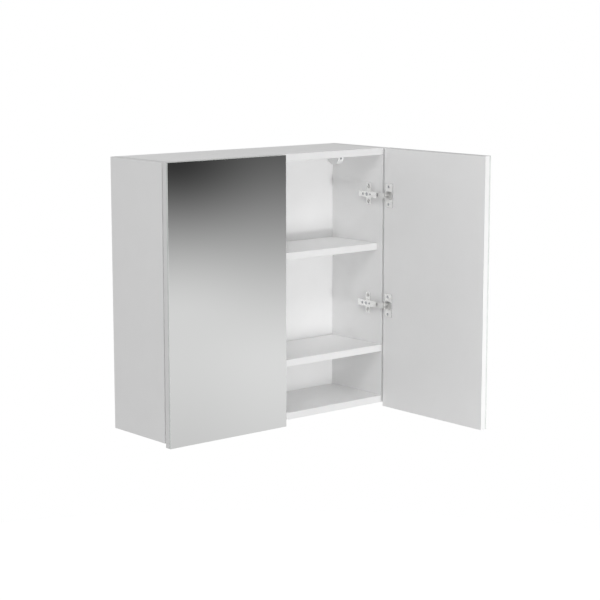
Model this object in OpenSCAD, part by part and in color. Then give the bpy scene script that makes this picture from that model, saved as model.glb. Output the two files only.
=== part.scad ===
// Mirrored wall cabinet with two doors, one fixed and one loose shelf, cup hinges and rear hangers.
// The origin is the middle of the top panel's rear edge, on the wall plane; +Z is up and -Y is the front.

/* [Carcass] */
// Width over the side panels
cabinet_width = 600; // [450:10:900]
// Height over the side panels
cabinet_height = 560; // [540:10:900]
// Depth from the wall to the front edges of the side panels
cabinet_depth = 176; // [150:2:300]
// Thickness of the carcass boards and shelves
board = 15; // [14:0.5:18]
// Thickness of the back panel
back_thickness = 3; // [2.5:0.5:5]
// Clear space between the back panel and the wall
wall_space = 10; // [9:0.5:20]
// Depth of the grooves that hold the back panel
groove_depth = 5; // [3:0.5:7]

/* [Shelves] */
// Underside of the fixed shelf above the carcass underside
fixed_shelf_height = 114; // [60:1:150]
// Underside of the loose shelf above the carcass underside
loose_shelf_height = 337; // [280:1:380]
// Distance of the loose shelf's front edge behind the carcass front
loose_shelf_setback = 15.5; // [5:0.5:40]
// Gap between the loose shelf and each side panel
shelf_gap = 0.75; // [0.3:0.05:1.5]

/* [Doors] */
// Thickness of a door board
door_board = 12; // [12:0.5:19]
// Thickness of the mirror glass
mirror_glass = 4; // [3:0.5:6]
// Gap between the closed doors and the carcass front
door_gap = 2.5; // [2.2:0.1:4]
// Gap between the two closed doors
middle_gap = 2.5; // [1.5:0.5:6]
// Distance that the doors reach below the carcass, as a finger pull
door_overhang = 8; // [0:1:20]
// Opening angle of the right door as drawn
right_door_angle = 90; // [0:5:95]
// Opening angle of the left door as drawn
left_door_angle = 0; // [0:5:95]

/* [Hinges] */
// Height of the lower hinges above the carcass underside
lower_hinge_height = 218; // [165:1:250]
// Distance of the upper hinges below the carcass top
upper_hinge_drop = 102; // [90:1:120]
// Distance of the mounting plate's screw line behind the carcass front
plate_setback = 42; // [40:1:60]
// Distance between the two screws of a mounting plate
plate_screw_spacing = 32; // [28:1:36]
// Distance between the two screws of a hinge cup
cup_screw_spacing = 38; // [36:1:44]
// Radius of the hinge cup's bore in the door
cup_radius = 13; // [12.8:0.1:13.2]
// Depth of the hinge cup's bore in the door
cup_depth = 10.8; // [10.6:0.1:11.2]
// Distance from the door's edge to the hinge cup's bore
cup_edge = 1.5; // [1.2:0.1:2]
// Distance of the door's swing axis inside the door's edge
pivot_inset = 6; // [5.5:0.1:6.2]
// Distance of the door's swing axis in front of the door's inner face
pivot_depth = 9; // [8.9:0.1:9.4]
// Width of a hinge arm
arm_width = 13; // [12.6:0.2:16]

/* [Hangers] */
// Width of a hanger housing
hanger_width = 15; // [13:0.5:20]
// Depth of a hanger housing
hanger_depth = 36; // [34:1:50]
// Height of a hanger housing
hanger_height = 28; // [27:1:45]

/* [Hidden] */
$fn = 64;

right = 1;
left = -1;
sides = [left, right];
// Overrun of a cut past the face that it opens
cut = 1;
// Overlap of two cuts that meet on a face
seam = 0.1;
// Radial clearance of a dowel, screw or pin in a hole of its own body
seat_fit = 0.05;

// Faces of the carcass
half_width = cabinet_width / 2;
side_face = half_width - board;
top_z = board / 2;
floor_z = top_z - cabinet_height;
ceiling_z = top_z - board;
base_z = floor_z + board;
back_front_y = -(wall_space + back_thickness);
fixed_shelf_z = floor_z + fixed_shelf_height;
loose_shelf_z = floor_z + loose_shelf_height;
groove_fit = 0.1;

// Cam fittings and dowels of the panel joints
joint_margin = 37;
cam_setback = 24;
cam_radius = 7.4;
cam_bore_depth = 12.5;
cam_height = 12.3;
cam_cavity_radius = 5.2;
cam_cavity_height = 6.8;
cam_recess_depth = 2;
bolt_radius = 3;
bolt_neck_radius = 1.6;
bolt_neck_length = 4;
bolt_head_length = 2.6;
bolt_thread_radius = 2.5;
bolt_thread_length = 10;
dowel_radius = 4;
dowel_in_side = 10;
dowel_in_panel = 18;
dowel_end_gap = 0.5;

// Shelf pins
pin_radius = 2.5;
pin_depth = 8;
pin_tongue = 8;
pin_half_width = 3.5;
pin_height = 5;
pin_margin = 32;
shelf_rear_gap = 1;

// Hanger housing, hook and screws, with places measured from the housing's rear and top
hanger_wall = 1.6;
hanger_round = 14;
hanger_peg_radius = 3;
hanger_peg_depth = 9;
hanger_front_peg = [27.5, 4];
hanger_rear_peg = [11, 22];
hook_thickness = 3;
hook_middle = hanger_width / 2;
hook_top = 8;
hook_arm_drop = 6;
hook_body_drop = 10.5;
hook_body_length = 23;
hook_tip = 3;
hook_tip_drop = 14;
hook_wall_gap = 1.5;
hook_slot_fit = 1;
hanger_screw_radius = 2;
hanger_head_radius = 2.6;
hanger_head_length = 2.3;
hanger_screw_drops = [10, 15.4];

// The doors and their swing axis, with the doors closed
door_y = -(cabinet_depth + door_gap);
door_bottom = floor_z - door_overhang;
pivot = [half_width - pivot_inset, door_y - pivot_depth];

// Hinge heights
upper_hinge_z = top_z - upper_hinge_drop;
lower_hinge_z = floor_z + lower_hinge_height;
hinge_heights = [upper_hinge_z, lower_hinge_z];

// Arm pins, by height above the side panel; they lie on the line that halves a 90 degree swing
outer_pin_height = 9;
inner_pin_height = 4;
outer_reach = board - pivot_inset + outer_pin_height;
inner_reach = board - pivot_inset + inner_pin_height;
outer_pin = [pivot.x - outer_reach, pivot.y + outer_reach];
inner_pin = [pivot.x - inner_reach, pivot.y + inner_reach];
// Distances of the cup's pins from the swing axis
outer_throw = 3.2;
inner_throw = 0.8;
outer_cup_pin = [pivot.x, pivot.y + outer_throw];
inner_cup_pin = [pivot.x, pivot.y + inner_throw];
hinge_pin_radius = 0.7;
arm_pin_radius = 1;
running_fit = 0.05;
outer_slot_fit = 0.35;
inner_slot_fit = 0.15;

// Layers of a hinge, as half widths from its middle plane
inner_link_half = 2.4;
nose_inner = 2.6;
nose_outer = 3.4;
link_cheek_inner = 3.6;
cheek_gap = 0.2;
link_cheek_outer = 4.6;
link_web_half = 6.2;

// Hinge arm and mounting plate
sheet = 1.2;
arm_cover = 3.5;
arm_top = outer_pin_height + arm_cover;
arm_foot = 2.4;
arm_rear_length = 20.5;
arm_round = 2.5;
outer_eye = 2.1;
inner_eye = 2.1;
nose_taper = 1.9;
arm_overhang = 1;
nose_rear_length = 20.5;
plate_y = plate_setback - cabinet_depth;
arm_front_y = outer_pin.y - arm_overhang;
nose_front_y = outer_pin.y + outer_eye + nose_taper;
arm_rear_y = plate_y + arm_rear_length;
nose_rear_y = plate_y - nose_rear_length;
plate_thickness = 2;
wing_width = 14;
wing_margin = 7;
wing_round = 3.5;
slot_half_width = 2.2;
slot_half_length = 5;
plate_body_half = 5;
plate_body_rear = 16;
plate_body_front = 19.5;

// Screws of the plates and arms
plate_screw_radius = 1.75;
plate_head_radius = 3;
plate_head_length = 1.8;
plate_screw_depth = 11;
fixing_screw_offset = 7;
cam_screw_offset = -5;
side_screw_offset = -15.6;
fixing_head_radius = 3;
cam_screw_radius = 3.7;
side_screw_radius = 2.3;
arm_screw_radius = 1.9;
arm_screw_sink = 0.4;
arm_screw_depth = 9;
recess_width = 0.9;
recess_depth = 0.9;

// Hinge cup
cup_x = half_width - cup_edge - cup_radius;
cup_wall = 0.8;
cup_opening_half = 9.2;
flange_thickness = 1;
flange_lip = 0.3;
wing_end = 6.5;
wing_half_height = cup_screw_spacing / 2 + wing_end;
wing_near = 6;
flange_cut = 12.8;
flange_round = 2;
cup_screw_radius = 1.5;
cup_head_radius = 3;
cup_screw_depth = 10;
cup_head_depth = 1.5;
cup_pin_half_length = 9.3;
lug_reach = 3.3;
lug_radius = 1.3;
link_half = 1.2;
inner_half = 1;
eye_wall = 0.4;
link_arm_half = 1.6;
web_start = 4.4;
bend_reach = 3.5;
bend_lift = 2;
inner_bend_reach = 1.6;
inner_bend_lift = 1.6;
cup_floor_y = door_y - cup_depth + cup_wall;
outer_bend = [side_face - bend_reach, cup_floor_y + bend_lift];
inner_bend = [side_face - inner_bend_reach, cup_floor_y + inner_bend_lift];

// Distance between an arm pin and its cup pin, at rest on both ends of a 90 degree swing
function link_length(reach, throw) =
    let (a = reach * sqrt(2)) sqrt(throw * throw + a * a - sqrt(2) * throw * a);

// Turn of a link for each degree that its door opens, against the door's own turn
function link_ratio(reach, throw) =
    asin(throw * sin(45) / link_length(reach, throw)) / 45;

// Distance that a cup pin runs inwards along its link's slot at the middle of the swing
function slot_travel(reach, throw) =
    link_length(reach, throw) - (reach * sqrt(2) - throw);

function door_angle(side) = side == right ? right_door_angle : left_door_angle;

echo(outer_link_ratio = link_ratio(outer_reach, outer_throw));
echo(inner_link_ratio = link_ratio(inner_reach, inner_throw));

// Placing

module flip(side) {
    mirror([side == left ? 1 : 0, 0, 0]) children();
}

module turn_about(point, angle) {
    translate([point.x, point.y, 0]) rotate([0, 0, angle]) translate([-point.x, -point.y, 0]) children();
}

module on_door(side) {
    flip(side) turn_about(pivot, door_angle(side)) children();
}

module box(low, high) {
    translate(low) cube(high - low);
}

// A rod along +X from a point
module rod_x(point, radius, length) {
    translate(point) rotate([0, 90, 0]) cylinder(r = radius, h = length);
}

// A rod along -Y from a point
module rod_y(point, radius, length) {
    translate(point) rotate([90, 0, 0]) cylinder(r = radius, h = length);
}

// A flat bar with round ends between two points of a plan
module bar(from, to, half) {
    run = to - from;
    translate(from) rotate(atan2(run.y, run.x)) translate([0, -half]) square([norm(run), 2 * half]);
    translate(from) circle(r = half);
    translate(to) circle(r = half);
}

// A rectangle with round corners
module rounded(low, high, radius) {
    translate([low.x + radius, low.y]) square([high.x - low.x - 2 * radius, high.y - low.y]);
    translate([low.x, low.y + radius]) square([high.x - low.x, high.y - low.y - 2 * radius]);
    for (x = [low.x + radius, high.x - radius], y = [low.y + radius, high.y - radius])
        translate([x, y]) circle(r = radius);
}

// Two equal layers of a plan, above and below the middle plane
module cheeks(inner, outer) {
    for (turn = [0, 1])
        mirror([0, 0, turn]) translate([0, 0, inner]) linear_extrude(outer - inner) children();
}

module slab(half) {
    translate([0, 0, -half]) linear_extrude(2 * half) children();
}

// A shape in the (Y, Z) plane of a side panel, with a thickness that grows away from the panel's face
module on_panel(height, thickness) {
    translate([side_face - height - thickness, 0, 0])
        rotate([90, 0, 90]) linear_extrude(thickness) children();
}

// Panel joints

function joint_rows() = [
    [ceiling_z, 0],
    [floor_z, 0],
    [fixed_shelf_z, back_front_y]
];

function cam_places(row) = [row[1] - joint_margin, -cabinet_depth + joint_margin];
function dowel_place(row) = (row[1] - cabinet_depth) / 2;

module bolt_holes() {
    for (row = joint_rows(), y = cam_places(row)) {
        z = row[0] + board / 2;
        rod_x([side_face - cam_setback, y, z], bolt_radius + seat_fit, cam_setback + seam);
        rod_x([side_face - seam, y, z], bolt_thread_radius + seat_fit, bolt_thread_length + seam);
    }
}

module dowel_holes() {
    for (row = joint_rows())
        rod_x([side_face - dowel_in_panel - dowel_end_gap, dowel_place(row), row[0] + board / 2],
            dowel_radius + seat_fit, dowel_in_panel + dowel_in_side + 2 * dowel_end_gap);
}

module cam_holes() {
    for (row = joint_rows(), y = cam_places(row))
        translate([side_face - cam_setback, y, row[0] - cut])
            cylinder(r = cam_radius + seat_fit, h = cam_bore_depth + cut);
}

module end_joints() {
    for (side = sides)
        flip(side) {
            bolt_holes();
            dowel_holes();
            cam_holes();
        }
}

module cam_bolt(y, z) {
    reach = cam_setback - bolt_head_length / 2;
    rod_x([side_face, y, z], bolt_thread_radius, bolt_thread_length);
    rod_x([side_face - reach + bolt_neck_length + bolt_head_length / 2, y, z], bolt_radius,
        reach - bolt_neck_length - bolt_head_length / 2);
    rod_x([side_face - reach - bolt_head_length / 2, y, z], bolt_neck_radius,
        bolt_neck_length + bolt_head_length);
    rod_x([side_face - reach - bolt_head_length / 2, y, z], bolt_radius, bolt_head_length);
}

module cam_bolts() {
    color("silver")
        for (side = sides, row = joint_rows(), y = cam_places(row))
            flip(side) cam_bolt(y, row[0] + board / 2);
}

module cam_disc(y, z) {
    top = cam_bore_depth - cam_height;
    middle = board / 2;
    translate([side_face - cam_setback, y, z])
        difference() {
            translate([0, 0, top]) cylinder(r = cam_radius, h = cam_height);
            translate([0, 0, middle - cam_cavity_height / 2])
                cylinder(r = cam_cavity_radius, h = cam_cavity_height);
            box([0, -cam_cavity_height / 2, middle - cam_cavity_height / 2],
                [cam_radius + cut, cam_cavity_height / 2, middle + cam_cavity_height / 2]);
            for (turn = [0, 90])
                rotate([0, 0, turn])
                    box([-cam_cavity_radius, -recess_width, top - cut],
                        [cam_cavity_radius, recess_width, top + cam_recess_depth]);
        }
}

module cam_discs() {
    color("gray")
        for (side = sides, row = joint_rows(), y = cam_places(row))
            flip(side) cam_disc(y, row[0]);
}

module dowels() {
    color("burlywood")
        for (side = sides, row = joint_rows())
            flip(side)
                rod_x([side_face - dowel_in_panel, dowel_place(row), row[0] + board / 2],
                    dowel_radius, dowel_in_panel + dowel_in_side);
}

// Carcass

module back_groove() {
    reach = side_face + groove_depth + groove_fit;
    box([-reach, back_front_y - groove_fit, base_z - groove_depth - groove_fit],
        [reach, -wall_space + groove_fit, ceiling_z + groove_depth + groove_fit]);
}

module side_panel(side) {
    color("whitesmoke")
        difference() {
            flip(side)
                difference() {
                    box([side_face, -cabinet_depth, floor_z], [half_width, 0, top_z]);
                    bolt_holes();
                    dowel_holes();
                    for (y = pin_places())
                        rod_x([side_face - cut, y, loose_shelf_z - pin_radius],
                            pin_radius + seat_fit, pin_depth + cut + dowel_end_gap);
                    for (z = hinge_heights)
                        translate([0, 0, z]) plate_screw_holes();
                    hanger_peg_holes();
                }
            back_groove();
        }
}

module top_panel() {
    color("whitesmoke")
        difference() {
            box([-side_face, -cabinet_depth, ceiling_z], [side_face, 0, top_z]);
            end_joints();
            back_groove();
        }
}

module bottom_panel() {
    color("whitesmoke")
        difference() {
            box([-side_face, -cabinet_depth, floor_z], [side_face, 0, base_z]);
            end_joints();
            back_groove();
        }
}

module back_panel() {
    reach = side_face + groove_depth;
    color("white")
        difference() {
            box([-reach, back_front_y, base_z - groove_depth],
                [reach, -wall_space, ceiling_z + groove_depth]);
            for (side = sides) flip(side) hook_slot();
        }
}

module fixed_shelf() {
    color("whitesmoke")
        difference() {
            box([-side_face, -cabinet_depth, fixed_shelf_z],
                [side_face, back_front_y, fixed_shelf_z + board]);
            end_joints();
        }
}

module loose_shelf() {
    reach = side_face - shelf_gap;
    color("whitesmoke")
        box([-reach, loose_shelf_setback - cabinet_depth, loose_shelf_z],
            [reach, back_front_y - shelf_rear_gap, loose_shelf_z + board]);
}

function pin_places() = [
    back_front_y - shelf_rear_gap - pin_margin,
    loose_shelf_setback - cabinet_depth + pin_margin
];

module shelf_pin(y) {
    rod_x([side_face, y, loose_shelf_z - pin_radius], pin_radius, pin_depth);
    translate([side_face - pin_tongue, y, loose_shelf_z - pin_height])
        linear_extrude(pin_height) {
            translate([pin_half_width, 0]) circle(r = pin_half_width);
            translate([pin_half_width, -pin_half_width])
                square([pin_tongue - pin_half_width, 2 * pin_half_width]);
        }
}

module shelf_pins() {
    color("silver")
        for (side = sides, y = pin_places()) flip(side) shelf_pin(y);
}

// Hangers

function hanger_y(offset) = back_front_y - offset;
function hanger_z(drop) = ceiling_z - drop;

module hook_slot() {
    half = hook_thickness / 2 + hook_slot_fit;
    low_z = hanger_z(hook_top + hook_arm_drop + hook_slot_fit);
    box([side_face - hook_middle - half, back_front_y - hanger_wall - cut, low_z],
        [side_face - hook_middle + half, cut, hanger_z(hook_top - hook_slot_fit)]);
}

module hanger_outline(inset) {
    low_y = hanger_y(hanger_depth - inset);
    high_y = hanger_y(inset);
    low_z = hanger_z(hanger_height - inset);
    radius = hanger_round - inset;
    translate([low_y, low_z + radius]) square([high_y - low_y, hanger_z(inset) - low_z - radius]);
    translate([low_y + radius, low_z]) square([high_y - low_y - 2 * radius, 2 * radius]);
    for (y = [low_y + radius, high_y - radius]) translate([y, low_z + radius]) circle(r = radius);
}

module hanger_peg(place, extra, length) {
    rod_x([side_face - hanger_width + hanger_wall, hanger_y(place.x), hanger_z(place.y)],
        hanger_peg_radius + extra, hanger_width - hanger_wall + length);
}

module hanger_peg_holes() {
    for (place = [hanger_front_peg, hanger_rear_peg])
        hanger_peg(place, seat_fit, hanger_peg_depth + dowel_end_gap);
}

module hanger_housing(side) {
    inner_y = hanger_y(hanger_depth - hanger_wall);
    color("white")
        flip(side)
            difference() {
                union() {
                    difference() {
                        on_panel(0, hanger_width) hanger_outline(0);
                        on_panel(-cut, hanger_width - hanger_wall + cut) hanger_outline(hanger_wall);
                    }
                    for (place = [hanger_front_peg, hanger_rear_peg])
                        hanger_peg(place, 0, hanger_peg_depth);
                }
                hook_slot();
                for (drop = hanger_screw_drops)
                    rod_y([side_face - hook_middle, inner_y + cut, hanger_z(drop)],
                        hanger_head_radius + seat_fit, hanger_wall + 2 * cut);
            }
}

function hook_rear() = hanger_y(hanger_wall + hook_slot_fit);
function hook_front() = hook_rear() - hook_body_length;

module hanger_hook(side) {
    color("silver")
        flip(side)
            on_panel(hook_middle - hook_thickness / 2, hook_thickness) {
                translate([hook_front(), hanger_z(hook_top + hook_body_drop)])
                    square([hook_body_length, hook_body_drop]);
                translate([hook_rear() - cut, hanger_z(hook_top + hook_arm_drop)])
                    square([cut - hook_rear() - hook_wall_gap, hook_arm_drop]);
                translate([-hook_wall_gap - hook_tip, hanger_z(hook_top + hook_tip_drop)])
                    square([hook_tip, hook_tip_drop]);
            }
}

module hanger_screw(drop) {
    front = hanger_y(hanger_depth);
    difference() {
        union() {
            rod_y([side_face - hook_middle, front + hanger_head_length, hanger_z(drop)],
                hanger_head_radius, hanger_head_length);
            rod_y([side_face - hook_middle, hook_front(), hanger_z(drop)],
                hanger_screw_radius, hook_front() - front - cut);
        }
        for (turn = [0, 90])
            translate([side_face - hook_middle, front, hanger_z(drop)])
                rotate([0, turn, 0])
                    box([-hanger_screw_radius, -cut, -recess_width / 2],
                        [hanger_screw_radius, recess_depth, recess_width / 2]);
    }
}

module hanger_screws() {
    color("silver")
        for (side = sides, drop = hanger_screw_drops) flip(side) hanger_screw(drop);
}

// Doors

module door_board(side) {
    color("whitesmoke")
        on_door(side)
            difference() {
                box([middle_gap / 2, door_y - door_board, door_bottom], [half_width, door_y, top_z]);
                for (z = hinge_heights)
                    translate([0, 0, z]) {
                        rod_y([cup_x, door_y + cut, 0], cup_radius, cup_depth + cut);
                        cup_screw_pair(seat_fit, cut);
                    }
            }
}

module door_mirror(side) {
    color("lightsteelblue")
        on_door(side)
            box([middle_gap / 2, door_y - door_board - mirror_glass, door_bottom],
                [half_width, door_y - door_board, top_z]);
}

// Hinge cups, with their middle plane at Z = 0

module at_cup() {
    translate([cup_x, door_y, 0]) rotate([90, 0, 0]) children();
}

module flange_outline() {
    intersection() {
        union() {
            circle(r = cup_radius + flange_lip);
            rounded([-flange_cut, -wing_half_height], [cup_radius + cup_edge - wing_near, wing_half_height],
                flange_round);
        }
        translate([-flange_cut, -wing_half_height]) square(2 * wing_half_height);
    }
}

module cup_cavity() {
    intersection() {
        translate([0, 0, -2 * flange_thickness])
            cylinder(r = cup_radius - cup_wall, h = cup_depth - cup_wall + 2 * flange_thickness);
        translate([-2 * cup_radius, -cup_opening_half, -2 * flange_thickness])
            cube([4 * cup_radius, 2 * cup_opening_half, 2 * cup_depth]);
    }
}

module cup_lugs() {
    intersection() {
        cheeks(nose_inner, nose_outer) {
            translate(inner_cup_pin) circle(r = lug_radius);
            translate([inner_cup_pin.x - lug_radius, cup_floor_y - cup_wall / 2])
                square([lug_radius + lug_reach, inner_cup_pin.y - cup_floor_y + cup_wall / 2]);
        }
        at_cup() cylinder(r = cup_radius - cup_wall / 2, h = cup_depth);
    }
}

module cup_pin_set(extra) {
    cheeks(link_cheek_inner - cheek_gap / 2, cup_pin_half_length + extra)
        translate(outer_cup_pin) circle(r = hinge_pin_radius + extra);
    slab(nose_outer + extra) translate(inner_cup_pin) circle(r = hinge_pin_radius + extra);
}

module cup_screw_pair(extra, overrun) {
    flange_y = door_y + flange_thickness;
    head = cup_head_radius + extra;
    shank = cup_screw_radius + extra;
    for (z = [-cup_screw_spacing / 2, cup_screw_spacing / 2]) {
        rod_y([cup_x, flange_y - flange_thickness / 2, z], shank, cup_screw_depth + extra);
        translate([cup_x, flange_y - seat_fit, z])
            rotate([90, 0, 0]) cylinder(r1 = head, r2 = shank, h = cup_head_depth);
        if (overrun > 0) rod_y([cup_x, flange_y + overrun, z], head, overrun + seat_fit);
    }
}

module hinge_cup(side, z) {
    color("gainsboro")
        on_door(side)
            translate([0, 0, z])
                difference() {
                    union() {
                        difference() {
                            at_cup() {
                                cylinder(r = cup_radius - seat_fit, h = cup_depth - seat_fit);
                                translate([0, 0, -flange_thickness])
                                    linear_extrude(flange_thickness) flange_outline();
                            }
                            at_cup() cup_cavity();
                        }
                        cup_lugs();
                    }
                    cup_pin_set(seat_fit / 2);
                    cup_screw_pair(seat_fit, cut);
                }
}

module cup_pins(side) {
    color("silver")
        on_door(side)
            for (z = hinge_heights) translate([0, 0, z]) cup_pin_set(0);
}

module cup_screws(side) {
    color("silver")
        on_door(side)
            for (z = hinge_heights)
                translate([0, 0, z])
                    difference() {
                        cup_screw_pair(0, 0);
                        for (s = [-cup_screw_spacing / 2, cup_screw_spacing / 2], turn = [0, 90])
                            translate([cup_x, door_y + flange_thickness, s])
                                rotate([0, turn, 0])
                                    box([-cup_screw_radius, -recess_depth, -recess_width / 2],
                                        [cup_screw_radius, cut, recess_width / 2]);
                    }
}

// Hinge links, drawn for a closed door

module slotted_eye(from, to, radius, travel) {
    run = (from - to) / norm(from - to) * travel;
    bar(to, to + run, radius);
}

module outer_link_plan() {
    travel = slot_travel(outer_reach, outer_throw);
    slot = hinge_pin_radius + outer_slot_fit;
    difference() {
        union() {
            translate(outer_pin) circle(r = outer_eye);
            bar(outer_pin, outer_bend, link_arm_half);
            bar(outer_bend, outer_cup_pin, link_half);
            slotted_eye(outer_pin, outer_cup_pin, slot + eye_wall, travel);
        }
        translate(outer_pin) circle(r = arm_pin_radius + running_fit);
        slotted_eye(outer_pin, outer_cup_pin, slot, travel);
    }
}

module outer_link_web() {
    along = (outer_bend - outer_pin) / norm(outer_bend - outer_pin);
    outwards = [along.y, -along.x] * (link_arm_half - sheet / 2);
    bar(outer_pin + along * web_start + outwards, outer_bend + outwards, sheet / 2);
}

module outer_link(side, z) {
    color("darkgray")
        flip(side)
            turn_about(outer_pin, -door_angle(side) * link_ratio(outer_reach, outer_throw))
                translate([0, 0, z]) {
                    cheeks(link_cheek_inner, link_cheek_outer) outer_link_plan();
                    slab(link_web_half) outer_link_web();
                }
}

module inner_link_plan() {
    travel = slot_travel(inner_reach, inner_throw);
    slot = hinge_pin_radius + inner_slot_fit;
    difference() {
        union() {
            translate(inner_pin) circle(r = inner_eye);
            bar(inner_pin, inner_bend, inner_half);
            bar(inner_bend, inner_cup_pin, inner_half);
            slotted_eye(inner_pin, inner_cup_pin, slot + eye_wall, travel);
        }
        translate(inner_pin) circle(r = arm_pin_radius + running_fit);
        slotted_eye(inner_pin, inner_cup_pin, slot, travel);
    }
}

module inner_link(side, z) {
    color("darkgray")
        flip(side)
            turn_about(inner_pin, -door_angle(side) * link_ratio(inner_reach, inner_throw))
                translate([0, 0, z]) slab(inner_link_half) inner_link_plan();
}

// Hinge arms and mounting plates, with their middle plane at Z = 0

module arm_nose() {
    difference() {
        union() {
            translate(outer_pin) circle(r = outer_eye);
            translate(inner_pin) circle(r = inner_eye);
            polygon([
                [side_face - arm_top + sheet / 2, nose_rear_y],
                [side_face - arm_top + sheet / 2, nose_front_y],
                [outer_pin.x - outer_eye, outer_pin.y],
                [outer_pin.x, outer_pin.y - outer_eye],
                [inner_pin.x, inner_pin.y - inner_eye],
                [inner_pin.x + inner_eye, inner_pin.y],
                [side_face - arm_foot, nose_front_y],
                [side_face - arm_foot, nose_rear_y]
            ]);
        }
        for (pin = [outer_pin, inner_pin]) translate(pin) circle(r = arm_pin_radius + seat_fit / 2);
    }
}

module hinge_arm(side, z) {
    half = arm_width / 2;
    outline_low = [arm_front_y, -half];
    outline_high = [arm_rear_y, half];
    color("gainsboro")
        flip(side)
            translate([0, 0, z]) {
                difference() {
                    on_panel(arm_foot, arm_top - arm_foot) rounded(outline_low, outline_high, arm_round);
                    box([side_face - arm_top + sheet, arm_front_y - cut, -half + sheet],
                        [side_face, arm_rear_y - sheet, half - sheet]);
                    arm_screw_set(seat_fit, cut);
                }
                cheeks(nose_inner, nose_outer) arm_nose();
            }
}

// A screw along the height of the arm, with its head at the arm's outer face
module arm_screw(y, head, extra, overrun) {
    low = side_face - arm_top + arm_screw_sink - overrun;
    rod_x([low, y, 0], head + extra, 2 * sheet + overrun);
    rod_x([low, y, 0], arm_screw_radius + extra, arm_screw_depth + overrun);
}

module arm_screw_set(extra, overrun) {
    low = side_face - arm_top + arm_screw_sink;
    translate([low, plate_y + fixing_screw_offset, 0])
        rotate([0, 90, 0])
            cylinder(r1 = fixing_head_radius + extra, r2 = arm_screw_radius + extra, h = 2 * sheet);
    if (overrun > 0)
        rod_x([low - overrun, plate_y + fixing_screw_offset, 0], fixing_head_radius + extra, overrun);
    rod_x([low, plate_y + fixing_screw_offset, 0], arm_screw_radius + extra, arm_screw_depth);
    arm_screw(plate_y + cam_screw_offset, cam_screw_radius, extra, overrun);
    arm_screw(plate_y + side_screw_offset, side_screw_radius, extra, overrun);
}

module arm_screws() {
    low = side_face - arm_top + arm_screw_sink;
    offsets = [fixing_screw_offset, cam_screw_offset, side_screw_offset];
    color("dimgray")
        for (side = sides, z = hinge_heights)
            flip(side)
                translate([0, 0, z])
                    difference() {
                        arm_screw_set(0, 0);
                        for (offset = offsets, turn = [0, 90])
                            translate([low, plate_y + offset, 0])
                                rotate([turn, 0, 0])
                                    box([-cut, -arm_screw_radius, -recess_width / 2],
                                        [recess_depth, arm_screw_radius, recess_width / 2]);
                    }
}

module arm_pins() {
    color("silver")
        for (side = sides, z = hinge_heights)
            flip(side)
                translate([0, 0, z]) {
                    slab(link_cheek_outer) translate(outer_pin) circle(r = arm_pin_radius);
                    slab(nose_outer) translate(inner_pin) circle(r = arm_pin_radius);
                }
}

module wing_outline() {
    half = plate_screw_spacing / 2 + wing_margin;
    difference() {
        rounded([plate_y - wing_width / 2, -half], [plate_y + wing_width / 2, half], wing_round);
        for (z = [-plate_screw_spacing / 2, plate_screw_spacing / 2])
            rounded([plate_y - slot_half_width, z - slot_half_length],
                [plate_y + slot_half_width, z + slot_half_length], slot_half_width - seat_fit);
    }
}

module mounting_plate(side, z) {
    color("gainsboro")
        flip(side)
            translate([0, 0, z])
                difference() {
                    union() {
                        on_panel(0, plate_thickness) wing_outline();
                        box([side_face - arm_top + sheet, plate_y - plate_body_front, -plate_body_half],
                            [side_face, plate_y + plate_body_rear, plate_body_half]);
                    }
                    arm_screw_set(seat_fit, 0);
                }
}

module plate_screw_holes() {
    for (z = [-plate_screw_spacing / 2, plate_screw_spacing / 2])
        rod_x([side_face - cut, plate_y, z], plate_screw_radius + seat_fit,
            plate_screw_depth + cut + dowel_end_gap);
}

module plate_screw() {
    head_x = side_face - plate_thickness - plate_head_length;
    difference() {
        union() {
            rod_x([head_x, plate_y, 0], plate_head_radius, plate_head_length);
            rod_x([head_x, plate_y, 0], plate_screw_radius,
                plate_head_length + plate_thickness + plate_screw_depth);
        }
        for (turn = [0, 90])
            translate([head_x, plate_y, 0])
                rotate([turn, 0, 0])
                    box([-cut, -plate_screw_radius, -recess_width / 2],
                        [recess_depth, plate_screw_radius, recess_width / 2]);
    }
}

module plate_screws() {
    color("silver")
        for (side = sides, z = hinge_heights, s = [-plate_screw_spacing / 2, plate_screw_spacing / 2])
            flip(side) translate([0, 0, z + s]) plate_screw();
}

side_panel(left);  // left_side_panel
side_panel(right);  // right_side_panel
top_panel();
bottom_panel();
back_panel();
fixed_shelf();
loose_shelf();
shelf_pins();
dowels();
cam_bolts();
cam_discs();
hanger_housing(left);  // left_hanger_housing
hanger_housing(right);  // right_hanger_housing
hanger_hook(left);  // left_hanger_hook
hanger_hook(right);  // right_hanger_hook
hanger_screws();
door_board(left);  // left_door_board
door_board(right);  // right_door_board
door_mirror(left);  // left_door_mirror
door_mirror(right);  // right_door_mirror
mounting_plate(left, upper_hinge_z);  // left_upper_mounting_plate
mounting_plate(left, lower_hinge_z);  // left_lower_mounting_plate
mounting_plate(right, upper_hinge_z);  // right_upper_mounting_plate
mounting_plate(right, lower_hinge_z);  // right_lower_mounting_plate
hinge_arm(left, upper_hinge_z);  // left_upper_hinge_arm
hinge_arm(left, lower_hinge_z);  // left_lower_hinge_arm
hinge_arm(right, upper_hinge_z);  // right_upper_hinge_arm
hinge_arm(right, lower_hinge_z);  // right_lower_hinge_arm
hinge_cup(left, upper_hinge_z);  // left_upper_hinge_cup
hinge_cup(left, lower_hinge_z);  // left_lower_hinge_cup
hinge_cup(right, upper_hinge_z);  // right_upper_hinge_cup
hinge_cup(right, lower_hinge_z);  // right_lower_hinge_cup
outer_link(left, upper_hinge_z);  // left_upper_outer_link
outer_link(left, lower_hinge_z);  // left_lower_outer_link
outer_link(right, upper_hinge_z);  // right_upper_outer_link
outer_link(right, lower_hinge_z);  // right_lower_outer_link
inner_link(left, upper_hinge_z);  // left_upper_inner_link
inner_link(left, lower_hinge_z);  // left_lower_inner_link
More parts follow.
